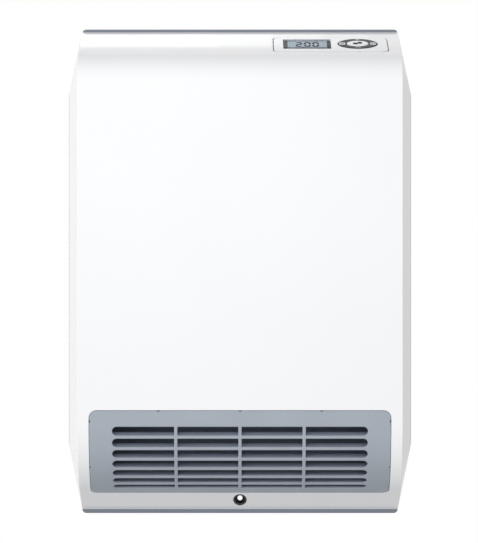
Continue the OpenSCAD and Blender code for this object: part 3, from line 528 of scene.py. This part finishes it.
def wrap(obj):
    """Cuts a flat object into narrow strips and wraps it onto the cover."""
    bm = bmesh.new()
    bm.from_mesh(obj.data)
    cuts = int((BEND_END - BEND_START) / STRIP)
    for i in range(cuts + 1):
        v = -(BEND_START + (BEND_END - BEND_START) * i / cuts)
        bmesh.ops.bisect_plane(bm, geom=bm.verts[:] + bm.edges[:] + bm.faces[:], dist=0.0001,
                               plane_co=(0, v, 0), plane_no=(0, 1, 0))
    for vert in bm.verts:
        vert.co = onto_bend(vert.co)
    bm.to_mesh(obj.data)
    bm.free()
    return obj


def grille_blank(name, margin, n0, n1):
    """The outlet insert, still flat, larger by the margin all round."""
    w, l = GRILLE_W + 2 * margin, GRILLE_L + 2 * margin
    outline = rounded(w, l, GRILLE_CORNER + margin, 0, -GRILLE_L / 2)
    return prisms(name, [(outline, n0, n1, Matrix())])


BOSS_X, BOSS_Z, BOSS_R, BOSS_H = 156.5, 150.0, 4.0, 26.0
PILOT_R = 1.3
# How far each cutter reaches along its own Z
GRILLE_CUT, PANEL_CUT, TUNNEL_CUT, PILOT_CUT = (-14, 14), (-12, 8), (19, 80), (18, 38)
BROAD_FACE = 600  # square millimetres: larger faces of cover and panel are shaded flat

cover = cover_body("front_cover_shell", 0, extra=0)
combine(cover, "DIFFERENCE", [cover_body("cover_inside", WALL, extra=2)])
bosses = []
for side in (-1, 1):
    for up in (-1, 1):
        x, z = side * BOSS_X, up * BOSS_Z
        foot = -REAR_Y + WALL + GAP
        head = -REAR_Y + BOSS_H
        wall_foot = REAR_W / 2 - WALL / 2
        wall_head = wall_foot - (REAR_W - FRONT_W) / 2 * BOSS_H / (REAR_Y - FRONT_Y)
        bosses.append(prisms("boss", [(circle(BOSS_R, x, z, steps=32), foot, head, FRONTAL)]))
        web = [(x, -foot), (side * wall_foot, -foot), (side * wall_head, -head), (x, -head)]
        bosses.append(prisms("web", [(web, z - WALL / 2, z + WALL / 2, Matrix())]))
combine(cover, "UNION", bosses)
panel_hole = rounded(PANEL_W + 2 * PANEL_GAP, PANEL_L + PANEL_GAP + PANEL_FRONT_GAP, PANEL_CORNER - 1)
panel_hole_frame = panel_frame(PLATE_X, (PANEL_GAP - PANEL_FRONT_GAP) / 2)
combine(cover, "DIFFERENCE", [
    wrap(grille_blank("grille_hole", GAP, *GRILLE_CUT)),
    prisms("panel_hole", [(panel_hole, *PANEL_CUT, panel_hole_frame)]),
    prisms("tunnel_hole", [(circle(TUNNEL_R + GAP, 0, LOCK_Z, steps=48), *TUNNEL_CUT, FRONTAL)]),
    *[prisms("pilot", [(circle(PILOT_R, i * BOSS_X, j * BOSS_Z, steps=24), *PILOT_CUT, FRONTAL)])
      for i in (-1, 1) for j in (-1, 1)],
])
bevel(cover, 0.3, angle=25)
make_piece(cover, "root", M["cover"], ["front_cover", "cover_sill"],
           flat_area=BROAD_FACE)

# ---------------------------------------------------------------- outlet grille
SLOT_VS = [-(BEND_START + BOTTOM_R * (SLOT_FIRST + SLOT_STEP * i)) for i in range(ROWS)]
THROUGH = (-GRILLE_T - 2, 2)
NOTCH_W, NOTCH_DEPTH = 2.2, 0.8
NOTCH_XS, NOTCH_VS = (-76.3, 0, 76.3), (-10, -57.5, -89.6)


def slot_row(v):
    """The four openings of one row, which the bars divide."""
    r, half = SLOT_H / 2, SLOT_W / 2
    edges = [-half] + [x + s * BAR_W / 2 for x in BAR_XS for s in (-1, 1)] + [half]
    openings = []
    for i in range(0, len(edges), 2):
        left, right = edges[i], edges[i + 1]
        if i == 0:
            outline = ([(right, v - r), (right, v + r)]
                       + arc(left + r, v, r, math.pi / 2, 3 * math.pi / 2, 16))
        elif i == len(edges) - 2:
            outline = ([(left, v + r), (left, v - r)]
                       + arc(right - r, v, r, -math.pi / 2, math.pi / 2, 16))
        else:
            outline = rect(right - left, 2 * r, (left + right) / 2, v)
        openings.append((outline, *THROUGH, Matrix()))
    return openings


grille = grille_blank("outlet_grille_skin", 0, -GRILLE_T, 0)
holes = [piece for v in SLOT_VS for piece in slot_row(v)]
notches = [(rect(NOTCH_W, 2 * NOTCH_DEPTH, x, 0), *THROUGH, Matrix()) for x in NOTCH_XS]
notches += [(rect(2 * NOTCH_DEPTH, NOTCH_W, side * GRILLE_W / 2, v), *THROUGH, Matrix())
            for side in (-1, 1) for v in NOTCH_VS]
combine(grille, "DIFFERENCE", [prisms("holes", holes), prisms("notches", notches)])
bevel(grille, 0.55)
wrap(grille)
make_piece(grille, "root", M["grille"], ["outlet_grille"])

# Each slat starts behind the lower edge of its slot; the bars run behind the slots
LIP = (SLOT_H / 2 + 0.9) / BOTTOM_R
SLAT_OVERLAP = 0.2
BARS_START, BARS_END, BARS_DEPTH = math.pi + math.radians(2), math.radians(246), 2.0
slats = []
for i in range(ROWS):
    angle = SLOT_FIRST + SLOT_STEP * i + LIP
    place = (bend_frame(angle) @ Matrix.Translation((0, 0, SLAT_OVERLAP - GRILLE_T))
             @ Matrix.Rotation(SLAT_RISE - angle, 4, "X"))
    slats.append((rect(SLOT_W + 4, SLAT_T), -SLAT_DEPTH, 0, place))
louvre = prisms("slats", slats)
bar_section = ring_band(BOTTOM_R - BARS_DEPTH, BOTTOM_R - SLAT_DEPTH, BARS_START, BARS_END, *LOW_C,
                        steps=48)
bars = [(bar_section, x - BAR_W / 2, x + BAR_W / 2, ALONG_X) for x in BAR_XS]
combine(louvre, "UNION", [prisms("bars", bars)])
bevel(louvre, 0.3, segments=2)
louvre.name = "outlet_louvre"
make_piece(louvre, "root", M["louvre"], ["outlet_grille"])

# ---------------------------------------------------------------- control panel
PLATE = panel_frame(PLATE_X, 0)
CONTROL = panel_frame(RING_X, CONTROLS_V)
WINDOW = panel_frame(WINDOW_X, CONTROLS_V)
# Lower and upper level of each layer, over the face of the panel
PLATE_N, FLANGE_N, POSTS_N = (-2.95, 0), (-4.5, -2.95), (-13, -4)
PANEL_CUT_N, MASK_CUT_N = (-6, 2), (-3, 0)
LENS_N, LCD_N, TRAY_N = (-1.6, -0.15), (-4.8, -2.0), (-13, -4.6)
MASK_N, BORDER_SHADE_N, SHADE_N, INK_N = (-1.95, -1.75), (-1.75, -1.7), (-2.01, -1.97), (-2.02, -1.9)
RING_MARK_N, SELECT_MARK_N, SIGN_N = (0.45, 0.54), (0.55, 0.72), (0.42, 0.54)
STEM_N, KEY_N, KEY_TOP_N = -8.3, -4.2, 0.5
POST_R, POST_XS, POST_VS = 2.5, (-50.5, 50.5), (-20, 20)
FLANGE_W, FLANGE_L, FLANGE_CORNER = PANEL_W + 7.5, PANEL_L + 6, 7
TRAY_W, TRAY_L = WINDOW_W + 3.6, WINDOW_L + 5
WINDOW_CORNER, LENS_CORNER, LENS_PLAY, LCD_PLAY = 1, 0.9, 0.2, 0.8


def panel_part(name, outline, n0, n1):
    """A layer of the panel with its display window and its round hole."""
    return combine(prisms(name, [(outline, n0, n1, PLATE)]), "DIFFERENCE", [
        prisms("window", [(rounded(WINDOW_W, WINDOW_L, WINDOW_CORNER, steps=4), *PANEL_CUT_N, WINDOW)]),
        prisms("ring_hole", [(circle(RING_R + GAP, steps=96), *PANEL_CUT_N, CONTROL)]),
    ])


panel = panel_part("control_panel_plate", rounded(PANEL_W, PANEL_L, PANEL_CORNER, steps=10), *PLATE_N)
bevel(panel, 0.25)
make_piece(panel, "root", M["panel"], ["control_panel"], flat_area=BROAD_FACE)
flange = panel_part("control_panel_flange", rounded(FLANGE_W, FLANGE_L, FLANGE_CORNER), *FLANGE_N)
combine(flange, "UNION", [
    prisms("posts", [(circle(POST_R, x, v, steps=24), *POSTS_N, PLATE)
                      for x in POST_XS for v in POST_VS]),
])
# The flange takes the dark grey of painted shade in the gap round the panel
make_piece(flange, "root", M["gap_shade"], ["control_panel"])

lens_outline = rounded(WINDOW_W - LENS_PLAY, WINDOW_L - LENS_PLAY, LENS_CORNER, steps=4)
lens = prisms("display_lens_plate", [(lens_outline, *LENS_N, WINDOW)])
bevel(lens, 0.25, segments=2)
make_piece(lens, "root", M["lens"], ["display_lens"])

lcd = prisms("lcd_glass", [(rect(WINDOW_W - LCD_PLAY, WINDOW_L - LCD_PLAY), *LCD_N, WINDOW)])
combine(lcd, "UNION", [prisms("tray", [(rect(TRAY_W, TRAY_L), *TRAY_N, WINDOW)])])
bevel(lcd, 0.2, segments=2)
make_piece(lcd, "root", M["lcd"], ["lcd_module"])

# Dark border of the display, wide at the left and right, narrow at the top and bottom, and the
# length of the strip of painted shade along the display's lower edge
MASK_L, MASK_R, MASK_EDGE = 3.7, 3.2, 0.5
SHADE_L = 12
half_w, half_l = WINDOW_W / 2 - 0.5, WINDOW_L / 2 - 0.5
inner_w, inner_x = 2 * half_w - MASK_L - MASK_R, (MASK_L - MASK_R) / 2
shade_v = SHADE_L / 2 - half_l
mask = prisms("display_border", [(rounded(2 * half_w, 2 * half_l, 0.4, steps=3), *MASK_N, WINDOW)])
mask_hole = rect(inner_w, 2 * half_l - 2 * MASK_EDGE, inner_x, 0)
combine(mask, "DIFFERENCE", [prisms("mask_hole", [(mask_hole, *MASK_CUT_N, WINDOW)])])
make_piece(mask, "root", M["mask"])
# Near-black lower ends of the border's sides: painted shade where the border grows darker towards the
# bottom
border_shade_spans = ((MASK_L, MASK_L / 2 - half_w), (MASK_R, half_w - MASK_R / 2))
border_shade = prisms("display_border_painted_shade", [(rect(w, SHADE_L, x, shade_v), *BORDER_SHADE_N, WINDOW)
                                      for w, x in border_shade_spans])
make_piece(border_shade, "root", M["ink"])

STROKE = 2.0
DIGIT_W, DIGIT_H, DIGIT_V = 6.4, 17.0, 3.8
DIGIT_XS, SHOWN = (56.1, 64.2, 72.0), ("abged", "abcdef", "abcdef")  # X from the middle of the heater
POINT, POINT_DROP = (2.2, 4.5), 4
LOW_SIGN = (5.0, 3.0, 13.9, -14)
TICK, TICK_X, TICK_STEP, TICK_V, TICKS = (1.1, 1.0), -16, 2.6, 16.6, 13


def digit(shown, x, v):
    """Outlines of a seven-stroke digit; shown names its strokes a to g."""
    w, h, s = DIGIT_W, DIGIT_H, STROKE
    quarter = (h - s) / 2
    # Each stroke's width, height and middle, from the middle of the digit
    strokes = {
        "a": (w - s, s * 1.5, 0, quarter),
        "g": (w - s, s * 1.5, 0, 0),
        "d": (w - s, s * 1.5, 0, -quarter),
        "b": (s, quarter - s, (w - s) / 2, quarter / 2),
        "c": (s, quarter - s, (w - s) / 2, -quarter / 2),
        "e": (s, quarter - s, (s - w) / 2, -quarter / 2),
        "f": (s, quarter - s, (s - w) / 2, quarter / 2),
    }
    return [rect(sw, sh, x + dx, v + dv) for sw, sh, dx, dv in (strokes[k] for k in shown)]


digit_xs = [x - (PANEL_X + WINDOW_X) for x in DIGIT_XS]
outlines = [outline for shown, x in zip(SHOWN, digit_xs) for outline in digit(shown, x, DIGIT_V)]
outlines.append(rect(*POINT, (digit_xs[0] + digit_xs[1]) / 2, DIGIT_V - DIGIT_H / 2 - POINT_DROP))
outlines.append(rect(*LOW_SIGN))
outlines += [rect(*TICK, TICK_X + TICK_STEP * i, TICK_V) for i in range(TICKS) if i % 4 != 3]
# Darker strip along the lower edge of the display: painted shade
shade = prisms("lcd_lower_painted_shade", [(rect(inner_w, SHADE_L, inner_x, shade_v), *SHADE_N, WINDOW)])
make_piece(shade, "root", M["lcd_shade"])
digits = prisms("lcd_digits", [(o, *INK_N, WINDOW) for o in outlines])
make_piece(digits, "root", M["ink"])

# ---------------------------------------------------------------- control ring and keys
# (radius, level) profiles, both with a softly rounded top
ring_profile = [(10.75, -4.6), (RING_R, -4.6), (RING_R, -0.1), (RING_R - 0.25, 0.22),
                (RING_R - 0.9, 0.42), (15.5, 0.5), (12.5, 0.5), (11.4, 0.42), (10.9, 0.22),
                (10.75, -0.1)]
select_profile = [(0, STEM_N), (1.8, STEM_N), (1.8, KEY_N), (SELECT_R, KEY_N), (SELECT_R, 0.1),
                  (SELECT_R - 0.15, 0.42), (SELECT_R - 0.6, 0.62), (SELECT_R - 2, 0.7), (4, 0.66),
                  (0, 0.64)]
RING_STEM_R, KEY_STEM_R, KEY_STEM_TOP_N = 1.5, 1.6, -4
PLUS_L, PLUS_T, MINUS = 4.6, 1.2, (5.6, 1.8)
HALF_MARK, HALF_X, HALF_V = (5.0, 7.6), 2.1, 1.3
MENU_BAR, MENU_VS = (3.6, 1.0), (-2.2, 0, 2.2)
POWER_R, POWER_T, POWER_FROM, POWER_TO = 2.0, 0.9, math.radians(125), math.radians(415)
POWER_BAR = (0.9, 3.0, 0, 1.6)


def stadium(w, l, x, steps):
    """Outline with all but half-round ends: full half circles would put two points in one place."""
    return rounded(w, l, w / 2 - 0.01, x, 0, steps)


ring = lathe("control_ring_cap", ring_profile, CONTROL)
pocket = (SIDE_KEY[0] + 2 * GAP, SIDE_KEY[1] + 2 * GAP)
combine(ring, "DIFFERENCE", [prisms("pocket", [(stadium(*pocket, x, 12), *PANEL_CUT_N, CONTROL)])
                             for x in (-SIDE_X, SIDE_X)])
combine(ring, "UNION", [prisms("stem", [(circle(RING_STEM_R, 0, v, steps=24), STEM_N, KEY_N, CONTROL)])
                        for v in (-SIDE_X, SIDE_X)])
bevel(ring, 0.12, segments=2, angle=60)
make_piece(ring, "ring", M["ring"], ["control_ring"])

plus = prisms("ring_plus", [(rect(PLUS_L, PLUS_T, 0, SIDE_X), *RING_MARK_N, CONTROL)])
combine(plus, "UNION", [prisms("upright", [(rect(PLUS_T, PLUS_L, 0, SIDE_X), *RING_MARK_N, CONTROL)])])
make_piece(plus, "ring", M["ink_light"])
minus = prisms("ring_minus", [(rect(*MINUS, 0, -SIDE_X), *RING_MARK_N, CONTROL)])
make_piece(minus, "ring", M["ink_light"])

select = lathe("select_button_cap", select_profile, CONTROL)
make_piece(select, "select", M["button"], ["select_button"], sharp=50)
left_half, right_half = (lens_shape(*HALF_MARK, s * HALF_X, s * HALF_V) for s in (-1, 1))
mark_piece = prisms("select_mark", [(left_half, *SELECT_MARK_N, CONTROL)])
combine(mark_piece, "UNION", [prisms("half", [(right_half, *SELECT_MARK_N, CONTROL)])])
make_piece(mark_piece, "select", M["ink_grey"])

signs = {
    "menu": [rect(*MENU_BAR, 0, v) for v in MENU_VS],
    "power": [ring_band(POWER_R + POWER_T / 2, POWER_R - POWER_T / 2, POWER_FROM, POWER_TO),
              rect(*POWER_BAR)],
}
for body, x in (("menu", -SIDE_X), ("power", SIDE_X)):
    place = panel_frame(RING_X + x, CONTROLS_V)
    key = prisms(body + "_button_cap", [(stadium(*SIDE_KEY, 0, 14), KEY_N, KEY_TOP_N, place)])
    stem = circle(KEY_STEM_R, steps=24)
    combine(key, "UNION", [prisms("stem", [(stem, STEM_N, KEY_STEM_TOP_N, place)])])
    bevel(key, 0.4)
    make_piece(key, body, M["button"], [body + "_button"])
    sign = prisms(body + "_sign", [(o, *SIGN_N, place) for o in signs[body]])
    make_piece(sign, body, M["ink_grey"])

# ---------------------------------------------------------------- camera, light and floor, in metres
CAMERA_LENS, CAMERA_SENSOR, CAMERA_Y = 218.8, 36, -3.199
CAMERA_SHIFT_X, CAMERA_SHIFT_Y = -0.00184162063, -0.000368324125
camera_data = bpy.data.cameras.new("camera")
camera_data.lens = CAMERA_LENS
camera_data.sensor_width = CAMERA_SENSOR
camera_data.clip_end = 100
camera_data.shift_x = CAMERA_SHIFT_X
camera_data.shift_y = CAMERA_SHIFT_Y
camera = bpy.data.objects.new("camera", camera_data)
camera.location = (0, CAMERA_Y, 0)
camera.rotation_euler = (math.pi / 2, 0, 0)
bpy.context.scene.collection.objects.link(camera)
bpy.context.scene.camera = camera
bpy.context.scene.view_settings.view_transform = "Standard"

# Soft light from all round: strongest from the front left, weak from straight above and below,
# with a glow from behind and above
LIGHT_LEVEL, LIGHT_LEAN, LIGHT_BELT = 0.94, (-0.36, -0.2, -0.03), -0.71
BACKDROP, BACKDROP_LEVEL, BACKDROP_FALL = (0, 0.707, 0.707), 0.6, 6
world = bpy.data.worlds.new("studio")
bpy.context.scene.world = world
world.use_nodes = True
nodes, links = world.node_tree.nodes, world.node_tree.links
background = nodes["Background"]
background.inputs["Color"].default_value = (1, 1, 1, 1)
direction = nodes.new("ShaderNodeTexCoord").outputs["Generated"]
axes = nodes.new("ShaderNodeSeparateXYZ")
links.new(direction, axes.inputs["Vector"])


def along(vector):
    """How far the direction of the light points along a vector."""
    dot = nodes.new("ShaderNodeVectorMath")
    dot.operation = "DOT_PRODUCT"
    dot.inputs[1].default_value = vector
    links.new(direction, dot.inputs[0])
    return dot.outputs["Value"]


def maths(operation, *values):
    """A maths node of the world; each value is a number or another node's output."""
    node = nodes.new("ShaderNodeMath")
    node.operation = operation
    for socket, value in zip(node.inputs, values):
        if isinstance(value, (int, float)):
            socket.default_value = value
        else:
            links.new(value, socket)
    return node.outputs["Value"]


belt = maths("MULTIPLY_ADD", maths("POWER", axes.outputs["Z"], 2), LIGHT_BELT, LIGHT_LEVEL)
glow = maths("POWER", maths("MAXIMUM", along(BACKDROP), 0), BACKDROP_FALL)
level = maths("ADD", maths("MULTIPLY_ADD", glow, BACKDROP_LEVEL, belt), along(LIGHT_LEAN))
rays = nodes.new("ShaderNodeLightPath")
seen = nodes.new("ShaderNodeMix")
links.new(rays.outputs["Is Camera Ray"], seen.inputs["Factor"])
links.new(level, seen.inputs["A"])
seen.inputs["B"].default_value = 1.0
links.new(seen.outputs["Result"], background.inputs["Strength"])


def softbox(name, place, target, width, length, brightness, glossy):
    """A soft light panel that the camera doesn't see; brightness is its radiance."""
    data = bpy.data.lights.new(name, "AREA")
    data.shape = "RECTANGLE"
    data.size, data.size_y = width, length
    data.energy = brightness * math.pi * width * length
    lamp = bpy.data.objects.new(name, data)
    lamp.location = place
    lamp.rotation_euler = (Vector(target) - Vector(place)).to_track_quat("-Z", "Y").to_euler()
    lamp.visible_camera = False
    lamp.visible_glossy = glossy
    bpy.context.scene.collection.objects.link(lamp)


KEY_PLACE, KEY_TARGET, KEY_SIZE, KEY_LEVEL = (-0.15, -0.75, 0.25), (0, -0.1, 0.05), 0.5, 1.45
softbox("key_light", KEY_PLACE, KEY_TARGET, KEY_SIZE, KEY_SIZE, KEY_LEVEL, False)

# Strips that mirror in the top face. They share their left end and stand 1 mm apart in depth, so
# that their light adds up and fades in steps to the right
SHEEN_LEFT, SHEEN_RIGHTS = -0.16, (-0.02, 0.03, 0.08, 0.125, 0.17)
SHEEN_Y, SHEEN_STACK, SHEEN_REACH = 0.01, 0.001, 0.1
SHEEN_Z, SHEEN_TARGET_Z, SHEEN_LENGTH, SHEEN_LEVEL = 0.2525, 0.2225, 0.024, 0.2
for i, right in enumerate(SHEEN_RIGHTS):
    middle, behind = (SHEEN_LEFT + right) / 2, SHEEN_Y + SHEEN_STACK * i
    softbox(f"top_sheen_{i}", (middle, behind, SHEEN_Z), (middle, behind - SHEEN_REACH, SHEEN_TARGET_Z),
            right - SHEEN_LEFT, SHEEN_LENGTH, SHEEN_LEVEL, True)

FLOOR_HALF, FLOOR_Z, FLOOR_GLOW = 3.0, -1.0, 0.22
floor_mesh = bpy.data.meshes.new("floor")
corners = [(x * FLOOR_HALF, y * FLOOR_HALF, FLOOR_Z) for x, y in ((-1, -1), (1, -1), (1, 1), (-1, 1))]
floor_mesh.from_pydata(corners, [], [(0, 1, 2, 3)])
floor = bpy.data.objects.new("floor", floor_mesh)
bpy.context.scene.collection.objects.link(floor)
floor_look = material("floor_pale", (0.92, 0.92, 0.92, 1), 0.9, mottle=0.01, mottle_scale=2,
                      specular=0.1, grain_scale=200)
floor_shader = floor_look.node_tree.nodes["Principled BSDF"]
floor_shader.inputs["Emission Color"].default_value = (1, 1, 1, 1)
floor_shader.inputs["Emission Strength"].default_value = FLOOR_GLOW
floor_mesh.materials.append(floor_look)
for rays_seen in ("visible_diffuse", "visible_glossy", "visible_transmission", "visible_shadow"):
    setattr(floor, rays_seen, False)
